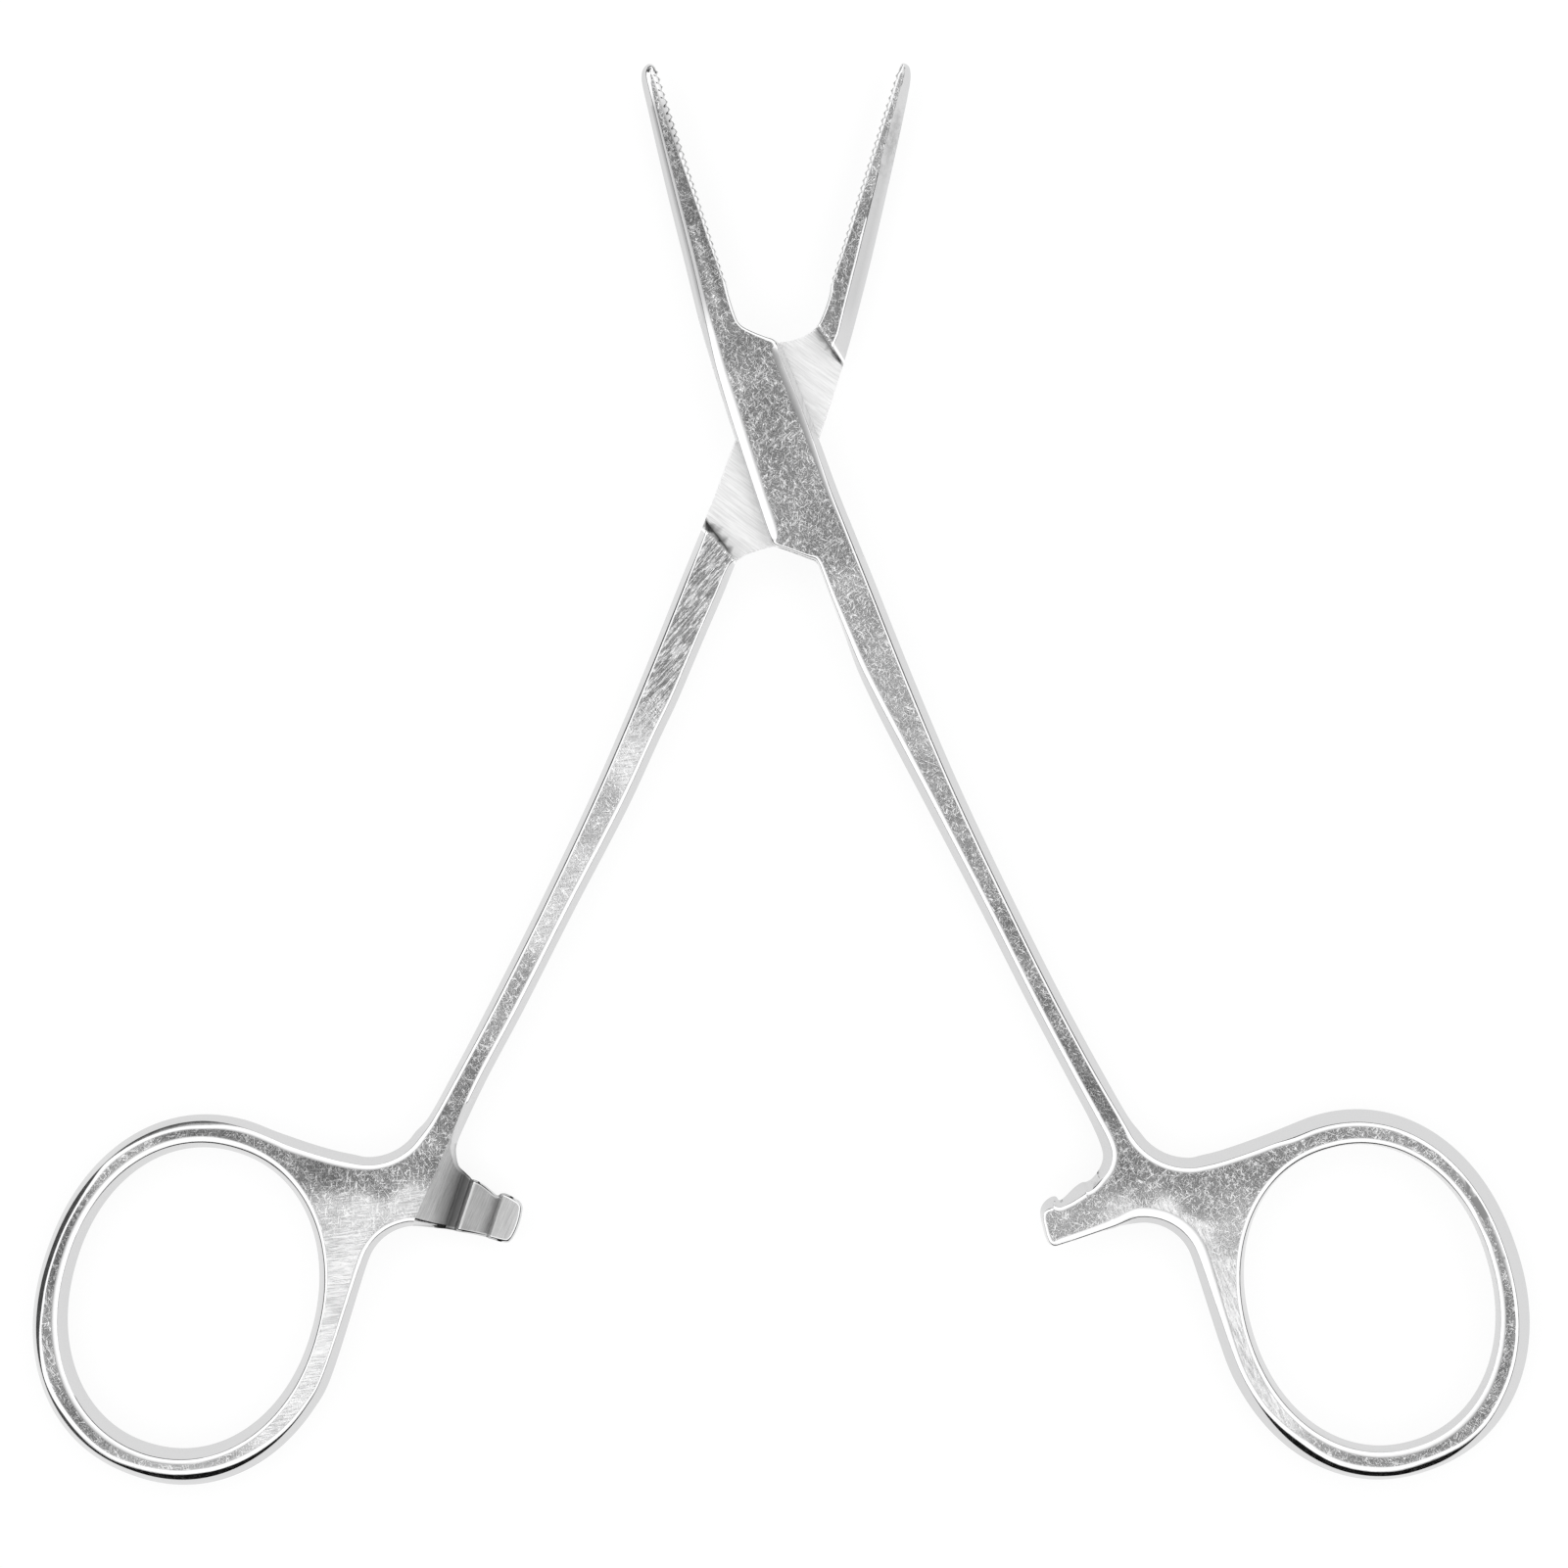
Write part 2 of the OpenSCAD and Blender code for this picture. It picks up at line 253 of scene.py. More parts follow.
TONGUE_ARM = {
    "jaw_back": [
        (-0.04, 31.05, 0.12, 0.1),
        (-0.08, 31.3, 0.15, 0.1),
        (-0.35, 31.38, 0.25, 0.1),
        (-0.72, 31.22, 0.35, 0.1),
        (-0.95, 30.85, 0.45, 0.1),
        (-1.15, 30.2, 0.55, 0.1),
        (-1.3, 29.2, 0.68, 0.1),
        (-1.55, 27, 0.85, 0.1),
        (-1.82, 24.4, 0.95, 0.1),
        (-2.2, 20.4, 1.0, 0.12),
        (-2.62, 15.6, 1.05, 0.14),
        (-2.88, 11.8, 1.05, 0.14),
        (-3.0, 9.6, 1.0, 0.14),
        (-3.07, 7.75, 0.95, 0.14),
        (-3.08, 7.1, 0.04, 0.04),
        *rows([(-3.1, 4), (-3.1, 0), (-3.06, -4), (-3.0, -7.4)], *TONGUE_EDGE),
        *rows([(-2.85, -7.9), (-2.3, -8.05), (-1.2, -8.75)], *TONGUE_EDGE),
        *rows([(-0.45, -9.35), (0.05, -9.95)], *TONGUE_EDGE),
        (0.14, -10.4, 0.3, 0.1),
    ],
    "shank_inner": [
        (0.2, -11.2, 0.42, 0.1),
        (0.32, -13, 0.45, 0.1),
        (0.6, -16, 0.46, 0.12),
        (0.86, -19, 0.46, 0.14),
        (1.12, -22, 0.46, 0.18),
        (1.5, -25, 0.48, 0.22),
        (2.2, -31, 0.48, 0.28),
        (3.7, -40, 0.46, 0.3),
        (5.1, -49, 0.46, 0.28),
        (6.15, -55, 0.48, 0.26),
        (6.6, -58.4, 0.45, 0.16),
        (6.78, -60.2, 0.3, 0.1),
    ],
    "ratchet": [
        (6.74, -60.9, 0.2, 0.1),
        (6.45, -61.6, 0.12, 0.1),
        (6.1, -62.15, 0.1, 0.08),
        (5.5, -62.5, 0.1, 0.08),
        (5.0, -62.74, 0.1, 0.08),
        (4.8, -62.84, 0.08, 0.08),
        (4.6, -62.78, 0.1, 0.08),
        (3.9, -62.88, 0.1, 0.08),
        (3.2, -63.14, 0.1, 0.08),
        (2.46, -63.42, 0.1, 0.08),
        (2.26, -63.18, 0.08, 0.08),
        (1.98, -63.06, 0.1, 0.08),
        (1.2, -63.16, 0.12, 0.1),
        (0.62, -63.34, 0.12, 0.1),
        (0.34, -63.62, 0.12, 0.1),
        (0.2, -64.25, 0.12, 0.1),
        (0.15, -65, 0.12, 0.1),
        (0.2, -65.75, 0.12, 0.1),
        (0.34, -66.35, 0.12, 0.1),
        (0.55, -66.66, 0.12, 0.1),
        (1.1, -66.78, 0.12, 0.1),
        (2.4, -66.84, 0.12, 0.1),
        (4, -67.0, 0.12, 0.1),
        (5.2, -67.16, 0.14, 0.1),
        (6.4, -67.36, 0.2, 0.14),
        (7.2, -67.52, 0.3, 0.2),
    ],
    "inner_fillet": arc(6.62, -71.42, 3.95, 68, 4, 0.42, 0.3, 7),
    "ring": ring_rows(
        (22.6, -78.6),
        190,
        456,
        [
            (190, 0.56, 0.14, 0.1),
            (205, 0.55, 0.3, 0.12),
            (225, 0.55, 0.42, 0.3),
            (245, 0.5, 0.42, 0.46),
            (262, 0.5, 0.42, 0.36),
            (280, 0.5, 0.42, 0.12),
            (300, 0.48, 0.38, 0.3),
            (318, 0.45, 0.4, 0.08),
            (335, 0.4, 0.2, 0.3),
            (352, 0.38, 0.16, 0.56),
            (374, 0.38, 0.16, 0.5),
            (392, 0.42, 0.34, 0.08),
            (410, 0.42, 0.24, 0.3),
            (432, 0.42, 0.26, 0.4),
            (446, 0.48, 0.36, 0.1),
            (456, 0.5, 0.38, 0.06),
        ],
    ),
    "web_top": rows(
        [(19.4, -64.05), (18, -64.07), (16.8, -64.05), (15.4, -63.98), (14.2, -63.84)], 0.6, 0.4
    )
    + arc(14.5, -59.4, 4.5, 255, 195, 0.55, 0.34),
    "front": [
        (9.65, -59.5, 0.42, 0.26),
        (8.75, -55, 0.42, 0.22),
        (7.75, -49, 0.44, 0.18, 0.1),
        (6.4, -40, 0.42, 0.14, 0.12),
        (5.25, -31, 0.38, 0.14, 0.13),
        (4.68, -25, 0.38, 0.12, 0.14),
        (4.22, -19, 0.4, 0.1, 0.14),
        (3.84, -13, 0.42, 0.1, 0.13),
        (3.56, -9.2, 0.42, 0.12),
        (3.5, -8.4, 0.36, 0.1),
        *rows([(3.47, -7.7), (3.32, -5), (3.17, -1), (3.0, 2), (2.78, 5)], *TONGUE_EDGE),
        *rows([(2.5, 6.9), (2.2, 7.4), (1.5, 7.75), (0.6, 8.4), (0.0, 9.15)], *TONGUE_EDGE),
        (-0.2, 9.6, 0.06, 0.06),
        (-0.28, 10.4, 0.1, 0.1),
        (-0.3, 12, 0.1, 0.1),
    ],
}

PARTS = ["jaw_back", "shank_inner", "ratchet", "inner_fillet", "ring", "web_top", "front"]

# Closing face of the jaw, from FACE_LOW up to FACE_HIGH, and its serrations. It
# is bowed below BOW_END, and the rounded tip above it stands back by TIP_BACK.
FACE_LOW = 13.2
FACE_HIGH = 30.6
FACE_X = 0.1
PITCH = 0.62
DEPTH = 0.3
BOW_END = 26.7
TIP_BACK = 0.12


def bow(tongue, y):
    """How far the closing face stands back, so that the tips meet first."""
    most = 0.2 if tongue else 0.04
    return most * np.clip((BOW_END - y) / (BOW_END - FACE_LOW), 0, None)


def serrated(tongue, x, y):
    """x, cut back to the saw-tooth line of the closing face."""
    phase = ((y - FACE_LOW) / PITCH - (0.5 if tongue else 0)) % 1
    line = FACE_X - bow(tongue, y) - DEPTH * (1 - np.abs(2 * phase - 1))
    on_face = between(y, FACE_LOW - 0.1, FACE_HIGH + 0.1) & (x > -0.6)
    return np.where(on_face, np.minimum(x, line), x)


def face_rows(tongue):
    """Rows up the closing face, four to each serration."""
    y = np.arange(FACE_LOW, FACE_HIGH, PITCH / 4)
    tip = 0.2 if tongue else 0.42
    bevel = np.interp(y, [13, 18, 28, 30.6], [0.14, 0.26, tip + 0.08, tip])
    x = FACE_X - bow(tongue, y)
    draft, shoulder, slope = (np.full(len(y), v) for v in (0.1, 0.04, BEVEL_SLOPE))
    return np.column_stack([x, y, draft, bevel, shoulder, slope])


# ---------------------------------------------------------------- curves


def smooth_curve(points, per=14):
    """Smooth curve through an open row of points; every column is carried."""
    p = np.array(points, float)
    gap = np.maximum(np.linalg.norm(np.diff(p[:, :2], axis=0), axis=1), 1e-6) ** 0.5
    slope = np.diff(p, axis=0) / gap[:, None]
    tangent = np.empty_like(p)
    tangent[0], tangent[-1] = slope[0], slope[-1]
    before, after = gap[:-1, None], gap[1:, None]
    tangent[1:-1] = (slope[:-1] * after + slope[1:] * before) / (before + after)
    u = np.arange(per)[:, None] / per
    out = []
    for i in range(len(gap)):
        a, b = p[i], p[i + 1]
        ta, tb = tangent[i] * gap[i], tangent[i + 1] * gap[i]
        out.append(
            (2 * u**3 - 3 * u**2 + 1) * a
            + (u**3 - 2 * u**2 + u) * ta
            + (3 * u**2 - 2 * u**3) * b
            + (u**3 - u**2) * tb
        )
    return np.vstack(out + [p[-1:]])


def resample(curve, step=0.28, turn=7.0):
    """Even spacing along a curve, closer where it turns."""
    d = np.diff(curve[:, :2], axis=0)
    length = np.linalg.norm(d, axis=1)
    heading = np.unwrap(np.arctan2(d[:, 1], d[:, 0]))
    bend = np.zeros(len(length))
    bend[:-1] += np.abs(np.diff(heading)) / 2
    bend[1:] += np.abs(np.diff(heading)) / 2
    run = np.concatenate([[0], np.cumsum(length / step + bend / math.radians(turn))])
    at = np.linspace(0, run[-1], int(math.ceil(run[-1])) + 1)
    return np.stack([np.interp(at, run, curve[:, k]) for k in range(curve.shape[1])], 1)


def arm_outline(arm, tongue):
    """Closed outline of an arm, counterclockwise, as rows."""
    face = face_rows(tongue)
    points = [tuple(face[-1] + [-TIP_BACK, PITCH / 4, 0, 0, 0, 0])]
    for part in PARTS:
        points += [full_row(*row) for row in arm[part]]
    points.append(tuple(face[0]))
    curve = resample(smooth_curve(points))
    return np.vstack([curve[:-1], face])


def hole_outline(tongue):
    """Closed outline of the finger hole, clockwise, as rows."""
    centre = (22.75, -78.5) if tongue else (23.45, -78.5)
    angles = np.linspace(360, 0, 240, endpoint=False)
    points = oval(centre, *RING_HOLE, angles)
    at = [0, 90, 180, 270, 360]
    drafts = [0.58, 0.4, 0.5, 0.76, 0.58] if tongue else [0.18, 0.16, 0.42, 0.34, 0.18]
    bevels = [0.42, 0.46, 0.12, 0.36, 0.42] if tongue else [0.32, 0.36, 0.26, 0.4, 0.32]
    draft = np.interp(angles, at, drafts)
    bevel = np.interp(angles, at, bevels)
    shoulder, slope = (np.full(len(angles), v) for v in (0.1, BEVEL_SLOPE))
    return np.column_stack([points, draft, bevel, shoulder, slope])


# ---------------------------------------------------------------- surfaces


def inward(loop):
    """Unit normals of a closed loop, pointing into the steel on its left."""
    d = np.roll(loop[:, :2], -1, 0) - np.roll(loop[:, :2], 1, 0)
    d /= np.linalg.norm(d, axis=1)[:, None]
    return np.stack([-d[:, 1], d[:, 0]], 1)


def nearest(points, loops):
    """For each point: distance to the nearest loop, and the widths there."""
    best = np.full(len(points), 1e9)
    width = np.zeros((len(points), 4))
    for loop in loops:
        a = loop
        b = np.roll(loop, -1, 0)
        ab = b[:, :2] - a[:, :2]
        size = np.maximum((ab**2).sum(1), 1e-12)
        for start in range(0, len(points), 2000):
            batch = slice(start, start + 2000)
            p = points[batch]
            ap = p[:, None, :] - a[None, :, :2]
            t = np.clip((ap * ab).sum(2) / size, 0, 1)
            gap = np.linalg.norm(ap - t[..., None] * ab, axis=2)
            k = gap.argmin(1)
            i = np.arange(len(p))
            tk = t[i, k][:, None]
            w = a[k, 2:] * (1 - tk) + b[k, 2:] * tk
            closer = gap[i, k] < best[batch]
            best[batch] = np.where(closer, gap[i, k], best[batch])
            width[batch] = np.where(closer[:, None], w, width[batch])
    return best, width.T


def band_edges(widths):
    """Distances from the outline at which the surface changes direction."""
    draft, bevel, shoulder, _ = widths
    wide = draft + shoulder + bevel
    low = np.minimum(0.04, 0.3 * draft)
    mid = np.minimum(0.03, 0.3 * shoulder)
    high = np.minimum(0.25, 0.35 * bevel)
    brow = draft + shoulder
    return [
        0.1 * draft,
        0.5 * draft,
        draft - low,
        draft + mid,
        brow - mid,
        brow + np.minimum(0.04, 0.3 * bevel),
        wide - high,
        wide,
        wide + high,
    ]


def rise(dist, widths, height, upright):
    """Height above the outline's edge; the lowest part of the side is upright."""
    draft, bevel, shoulder, slope = widths
    drop = SHOULDER_SLOPE * shoulder + slope * bevel
    keep = np.minimum(1, 0.7 * height / drop)
    shoulder_slope, bevel_slope = SHOULDER_SLOPE * keep, slope * keep
    side_slope = (height - drop * keep - upright) / draft
    brow = draft + shoulder
    wide = brow + bevel

    def exact(d):
        on_side = upright + side_slope * d
        on_shoulder = height - bevel_slope * bevel - shoulder_slope * (brow - d)
        on_bevel = np.minimum(height - bevel_slope * (wide - d), height)
        return np.where(d < draft, on_side, np.where(d < brow, on_shoulder, on_bevel))

    knots = [0 * draft] + band_edges(widths)
    values = [0 * draft] + [exact(k) for k in knots[1:]]
    values[-2] = height / 2 + (values[-3] + height) / 4
    out = np.array(height, float)
    for k in range(len(knots) - 2, -1, -1):
        span = np.maximum(knots[k + 1] - knots[k], 1e-9)
        part = values[k] + (values[k + 1] - values[k]) * (dist - knots[k]) / span
        out = np.where(dist < knots[k + 1], part, out)
    return out


def ease(t):
    """0 below 0 and 1 above 1, with a soft start and end between them."""
    t = np.clip(t, 0, 1)
    return t * t * (3 - 2 * t)


def between(value, low, high):
    """Whether each value is more than low and less than high."""
    return (value > low) & (value < high)


# Half thickness by y, from the shank up to the jaw's tip, and the stretch over
# which it is averaged
HALF_Y = [-60, -20, -14, -8, 8, 12, 20, 30.6, 31.4]
HALF_Z = [1.5, 1.5, 1.65, BOX_HALF, BOX_HALF, 1.65, 1.25, 0.85, 0.6]
BLUR = np.linspace(-1.4, 1.4, 15)


def half_thickness(x, y):
    """Half thickness of the forging, with the joins along its length eased."""
    bar = sum(np.interp(np.asarray(y) + b, HALF_Y, HALF_Z) for b in BLUR) / len(BLUR)
    away = np.hypot(np.asarray(x) - 11, np.asarray(y) + 66)
    ring = 1.46 + 0.14 * ease((away - 3) / 12)
    low = ease((-56 - np.asarray(y)) / 5)
    return bar * (1 - low) + ring * low


# Ratchet: two saw teeth and a ramp up to the web, on one face only. TOOTH_ZS are
# the heights at tooth_xs.
TOOTH_ZS = [0.05, 0.28, -0.42, 0.3, -0.5, -0.5]


def tooth_xs(tongue):
    """Places of the corners of the teeth, from the end of the bar."""
    end = 0.15 if tongue else 0.55
    return [end, end + 1.88, end + 2.2, end + 4.45, end + 4.8, end + 5.45]


def ramp_top_x(tongue, y):
    """x at which the ratchet's root ramp reaches the flat of the web."""
    return 7.2 - 0.094 * (np.asarray(y) + 58) if tongue else 7.6 + 0 * np.asarray(y)


def ratchet_height(tongue, x, y, full):
    """Height of the toothed face."""
    xs = tooth_xs(tongue)
    teeth = np.interp(x, xs, TOOTH_ZS)
    top = ramp_top_x(tongue, y)
    slope = (full - TOOTH_ZS[-1]) / (top - xs[-1])
    ramp = full - (top - x) * slope
    here = np.where(x > xs[-1], np.minimum(ramp, full), teeth)
    return np.where(between(y, -68.6, -57) & (x < top), np.minimum(here, full), full)


# Lines along the foot and the brow of the tongue's two shoulders
SHOULDER_LINES = {
    "jaw_foot": ((-3.6, 6.8), (0.6, 9.9)),
    "jaw_brow": ((-3.6, 6.97), (0.6, 10.06)),
    "shank_foot": ((-0.6, -10.57), (4.2, -7.19)),
    "shank_brow": ((-0.6, -10.5), (4.2, -8.0)),
}


def line_y(kind, x):
    """y of a shoulder line at x."""
    (x0, y0), (x1, y1) = SHOULDER_LINES[kind]
    return y0 + (x - x0) * (y1 - y0) / (x1 - x0)


def tongue_height(x, y, full):
    """Full height outside the shoulders, and the thin tongue between them."""
    jaw_wall = line_y("jaw_brow", x) - line_y("jaw_foot", x)
    shank_wall = np.maximum(line_y("shank_foot", x) - line_y("shank_brow", x), 0.08)
    jaw = (y - line_y("jaw_foot", x)) / jaw_wall
    shank = (line_y("shank_brow", x) + shank_wall - y) / shank_wall
    up = np.clip(np.maximum(jaw, shank), 0, 1) ** 1.4
    return TONGUE_HALF + (full - TONGUE_HALF) * up


def faces_of(tongue, x, y):
    """Heights of the top and the bottom face, before their edges are eased."""
    full = half_thickness(x, y)
    if tongue:
        body = np.where(between(y, -11, 11), tongue_height(x, y, full), full)
        return np.minimum(body, ratchet_height(True, x, y, full)), -body
    return full, -ratchet_height(False, x, y, full)


def edge_z(top, bottom):
    """Height of the widest line: the middle plane, or close to it."""
    margin = 0.08 * (top - bottom)
    return np.clip(0, bottom + margin, top - margin)


# Spacing of the points on the flats
GRID = 0.62


def plan_mesh(loops, creases):
    """Triangles of the arm on plan, with points along every band and crease."""
    points, edges = [], []

    def add_loop(p, closed=True):
        first = len(points)
        points.extend(map(tuple, p))
        count = len(p)
        for i in range(count if closed else count - 1):
            edges.append((first + i, first + (i + 1) % count))

    for loop in loops:
        add_loop(loop[:, :2])
        normal = inward(loop)
        for d in band_edges(loop[:, 2:].T):
            p = loop[:, :2] + normal * d[:, None]
            dist = nearest(p, loops)[0]
            p = p[dist > d - 0.004 - 0.02 * d]
            add_loop(p)
    for p in creases:
        add_loop(p, closed=False)
    outer = loops[0][:, :2]
    xs, ys = (np.arange(outer[:, k].min(), outer[:, k].max(), GRID) for k in (0, 1))
    grid = np.stack(np.meshgrid(xs, ys), -1).reshape(-1, 2)
    grid = grid[inside(grid, loops)]
    dist, widths = nearest(grid, loops)
    grid = grid[dist > band_edges(widths)[-1] + 0.22]
    points.extend(map(tuple, grid))
    made, _, tris, _, _, _ = delaunay_2d_cdt([Vector(p) for p in points], edges, [], 0, 1e-6)
    made = np.array([tuple(v) for v in made])
    tris = np.array([t for t in tris if len(t) == 3])
    middle = made[tris].mean(1)
    return made, tris[inside(middle, loops)]


def inside(points, loops):
    """Whether each point is inside the arm, by counting crossings."""
    hits = np.zeros(len(points), int)
    for loop in loops:
        a, b = loop[:, :2], np.roll(loop[:, :2], -1, 0)
        for start in range(0, len(points), 4000):
            batch = slice(start, start + 4000)
            p = points[batch, None, :]
            spans = (a[:, 1] > p[..., 1]) != (b[:, 1] > p[..., 1])
            rise_y = np.where(b[:, 1] == a[:, 1], 1e-12, b[:, 1] - a[:, 1])
            cross = a[:, 0] + (p[..., 1] - a[:, 1]) * (b[:, 0] - a[:, 0]) / rise_y
            hits[batch] += (spans & (p[..., 0] < cross)).sum(1)
    return hits % 2 == 1


# Painted light across the tongue arm's ratchet, as (x, value): painted shade
# in the roots and painted highlight on the catches
RATCHET_TONE = [
    (0.15, 0),
    (1.85, 0.05),
    (1.94, -0.7),
    (2.12, -0.9),
    (2.24, 0.3),
    (2.5, 0.5),
    (3.1, 0.36),
    (4.38, 0.36),
    (4.48, -0.6),
    (4.7, -0.9),
    (4.84, 0.5),
    (5.06, 0.72),
    (5.45, 0.84),
    (6.1, 0.5),
    (6.9, 0.06),
    (7.6, -0.1),
]
RATCHET_X, RATCHET_PAINTED_LIGHT = zip(*RATCHET_TONE)

# Steps in y from each shoulder line at which the face turns or its painted shade and highlight
# change
TONE_STEPS = {
    "jaw_foot": (0,),
    "jaw_brow": (0, 0.16, 0.34),
    "shank_foot": (0,),
    "shank_brow": (0, -0.1, -0.24),
}


def crease_lines(tongue):
    """Lines on plan, inside the outline, along which the face turns or its painted light changes."""
    out = []
    across = sorted(set(tooth_xs(tongue)[1:]) | set(RATCHET_X[1:] if tongue else []))
    for x in across:
        y = np.arange(-67.6, -62.2, 0.3)
        out.append(np.stack([np.full_like(y, x), y], 1))
    y = np.arange(-67.7, -57.6, 0.4)
    out.append(np.stack([ramp_top_x(tongue, y), y], 1))
    if tongue:
        t = np.linspace(0.08, 0.92, 16)
        for kind, ((x0, y0), (x1, y1)) in SHOULDER_LINES.items():
            for away in TONE_STEPS[kind]:
                out.append(np.stack([x0 + t * (x1 - x0), y0 + away + t * (y1 - y0)], 1))
    return out


# How the flats are finished, and painted lighter or darker, as (x, y, finish): 1 is
# ground one way with a painted highlight, 0 is scratched all ways, and -1 is a painted shade
FINISH_AND_PAINTED_LIGHT = {
    False: [
        (-0.8, 28, 0),
        (-1.6, 12, 0.1),
        (-0.5, 12, -0.45),
        (0.4, 8, -0.5),
        (-1.5, 5, -0.05),
        (1.3, 5, -0.2),
        (-1.5, -2, 0.1),
        (1.6, -2, 0.1),
        (-1.2, -6.5, 0.15),
        (1.8, -7.5, -0.35),
        (1.5, -14, 0.25),
        (2.6, -24, 0.35),
        (4.2, -35, 0.15),
        (6.2, -47, -0.2),
        (8.1, -57, -0.9),
        (8.6, -62, -0.5),
        (3, -65.5, 0.35),
        (9, -65.6, 0.2),
        (12, -65, -0.1),
        (13, -67.5, 0.1),
        (7.6, -66.3, 0.6),
        (9.8, -67, 0.8),
        (11.6, -69.2, 0.8),
        (14.5, -70.5, 0.45),
        (12.5, -74, 0.7),
        (12.5, -80, 0.8),
        (19, -65.4, -0.2),
        (27, -66.5, 0.1),
        (33.6, -77, 0.2),
        (32, -85, -0.3),
        (23, -91.2, 0.1),
    ],
    True: [
        (-0.8, 28, 0.3),
        (-0.9, 12, -0.4),
        (1.9, -13, -0.05),
        (2.5, -20, 0),
        (2.9, -29, 0.65),
        (4.2, -30, 0.4),
        (5.0, -40, 0.55),
        (6.3, -49, 0.35),
        (8.4, -57.5, -0.6),
        (8.9, -62, -0.1),
        (9, -66, 0.65),
        (11.5, -64.6, -0.35),
        (15.5, -65.3, -0.9),
        (12, -67.5, 0.6),
        (14.5, -68, 0.5),
        (12, -72, 1.0),
        (11.8, -79, 1.25),
        (20, -65.1, -0.6),
        (26, -65.6, -1.0),
        (31, -69.5, 0.3),
        (33.9, -78, -1.1),
        (33, -85.5, 0.2),
        (28, -90.5, -0.6),
        (22.5, -91.6, 0.4),
    ],
}


def finish_and_painted_light_of(tongue, x, y):
    """Finish, with its painted shade and highlight, at each place, drawn smoothly between the places
    listed.
    """
    total = np.zeros(len(x))
    weight = np.zeros(len(x))
    for px, py, value in FINISH_AND_PAINTED_LIGHT[tongue]:
        w = 1 / ((x - px) ** 2 + (y - py) ** 2 + 0.15) ** 2
        total += w * value
        weight += w
    return total / weight


def near(value, centre, width):
    """1 at the centre, fading to 0 about a width away."""
    return np.exp(-(((value - centre) / width) ** 2))


# Back edge of the jaw's flat
JAW_BACK_Y = [9, 15, 21, 25, 30]
JAW_BACK_X = [-2.4, -1.9, -1.5, -1.2, -0.75]


def painted_light_of(tongue, x, y, dist):
    """Painted shade on the steel, and below 0 painted highlight: the serrations' sides, the jaw's
    ridge and flanks, the ratchet's roots and catches.
    """
    # Painted shade along the sides of the closing face's serrations
    closing = between(y, FACE_LOW - 0.2, FACE_HIGH + 0.4) & (x > -0.55)
    painted_light = np.where(closing, 0.62 * ease((0.24 - dist) / 0.13), 0)
    back = np.interp(y, JAW_BACK_Y, JAW_BACK_X)
    across = (x - back) / (-0.35 - back)
    on_jaw = ease((y - 9) / 4) * ease((29.5 - y) / 2) * (dist > 0.4)
    if not tongue:
        # Painted highlight along a ridge of the box arm's jaw, painted shade on its flanks
        ridge = near(across, 0.45, 0.24)
        return painted_light + on_jaw * (0.42 * (1 - ridge) - 0.22 * ridge)
    # Painted shade in the ratchet's roots and along its rim, painted highlight on its catches
    on_teeth = between(y, -68, -60.5) & (x < ramp_top_x(True, y))
    rim_tone = 0.3 * ease((0.2 - dist) / 0.1)
    tooth_tone = np.maximum(np.interp(x, RATCHET_X, RATCHET_PAINTED_LIGHT), rim_tone)
    painted_light = shoulder_painted_light(np.where(on_teeth, tooth_tone, painted_light), x, y)
    # Painted shade on the tongue jaw's flanks, away from its middle
    return painted_light + on_jaw * 0.12 * (1 - near(across, 0.5, 0.3))


def shoulder_painted_light(painted_light, x, y):
    """The painted light with the tongue's shoulders added: painted shade at their feet and on the
    shank's wall, painted highlight along their brows.
    """
    brow = y - line_y("shank_brow", x)
    wall = np.maximum(line_y("shank_foot", x) - line_y("shank_brow", x), 0.12)
    past = brow / wall
    on_shank = ease((x - 0.1) / 1.2) * (x < 4) * (y < -6)
    # Painted shade on the wall of the shank's shoulder
    painted_light = np.maximum(painted_light, 0.94 * ease(past / 0.1) * ease((1.4 - past) / 0.5) * on_shank)
    # Painted highlight along the brow of the shank's shoulder
    painted_light = painted_light - 1.1 * near(brow, -0.1, 0.08) * ((y < -6) & between(x, 0, 3.6))
    foot = y - line_y("jaw_foot", x)
    at_jaw = (y > 6) & (x < 0.2)
    # Painted shade along the foot of the jaw's shoulder
    painted_light = painted_light + 0.5 * near(foot, 0, 0.1) * at_jaw
    # Painted highlight along the brow of the jaw's shoulder
    return painted_light - 1.1 * near(foot, 0.34, 0.1) * at_jaw


# Order of an arm's materials; only the tongue arm has the last
SATIN, POLISH, TEETH, TONGUE = range(4)


def material_indices(tongue, plan, tris, flat):
    """Material of each triangle of the top, and then of the bottom."""
    x, y = plan[tris].mean(1).T
    plain = np.where(flat, SATIN, POLISH)
    if tongue:
        ground = between(y, line_y("shank_foot", x), line_y("jaw_foot", x))
        plain = np.where(ground, TONGUE, plain)
    on_teeth = between(y, -67.6, -59) & (x < ramp_top_x(tongue, y)) & flat
    toothed = np.where(on_teeth, TEETH, plain)
    return np.concatenate([toothed, plain] if tongue else [plain, toothed])


def arm_turn(tongue):
    """Turn of an arm from its closed position to where it lies."""
    return Matrix.Rotation(math.radians(-HALF_OPEN if tongue else HALF_OPEN), 4, "Z")


def add_object(name, data):
    """Object for a mesh or a camera, linked to the scene."""
    obj = bpy.data.objects.new(name, data)
    bpy.context.scene.collection.objects.link(obj)
    return obj


def add_part(name, mesh, turn):
    """Object for a mesh drawn in millimetres about the pivot."""
    mesh.transform(Matrix.Scale(MM, 4) @ Matrix.Translation((0, 0, MID_Z)) @ turn)
    return add_object(name, mesh)


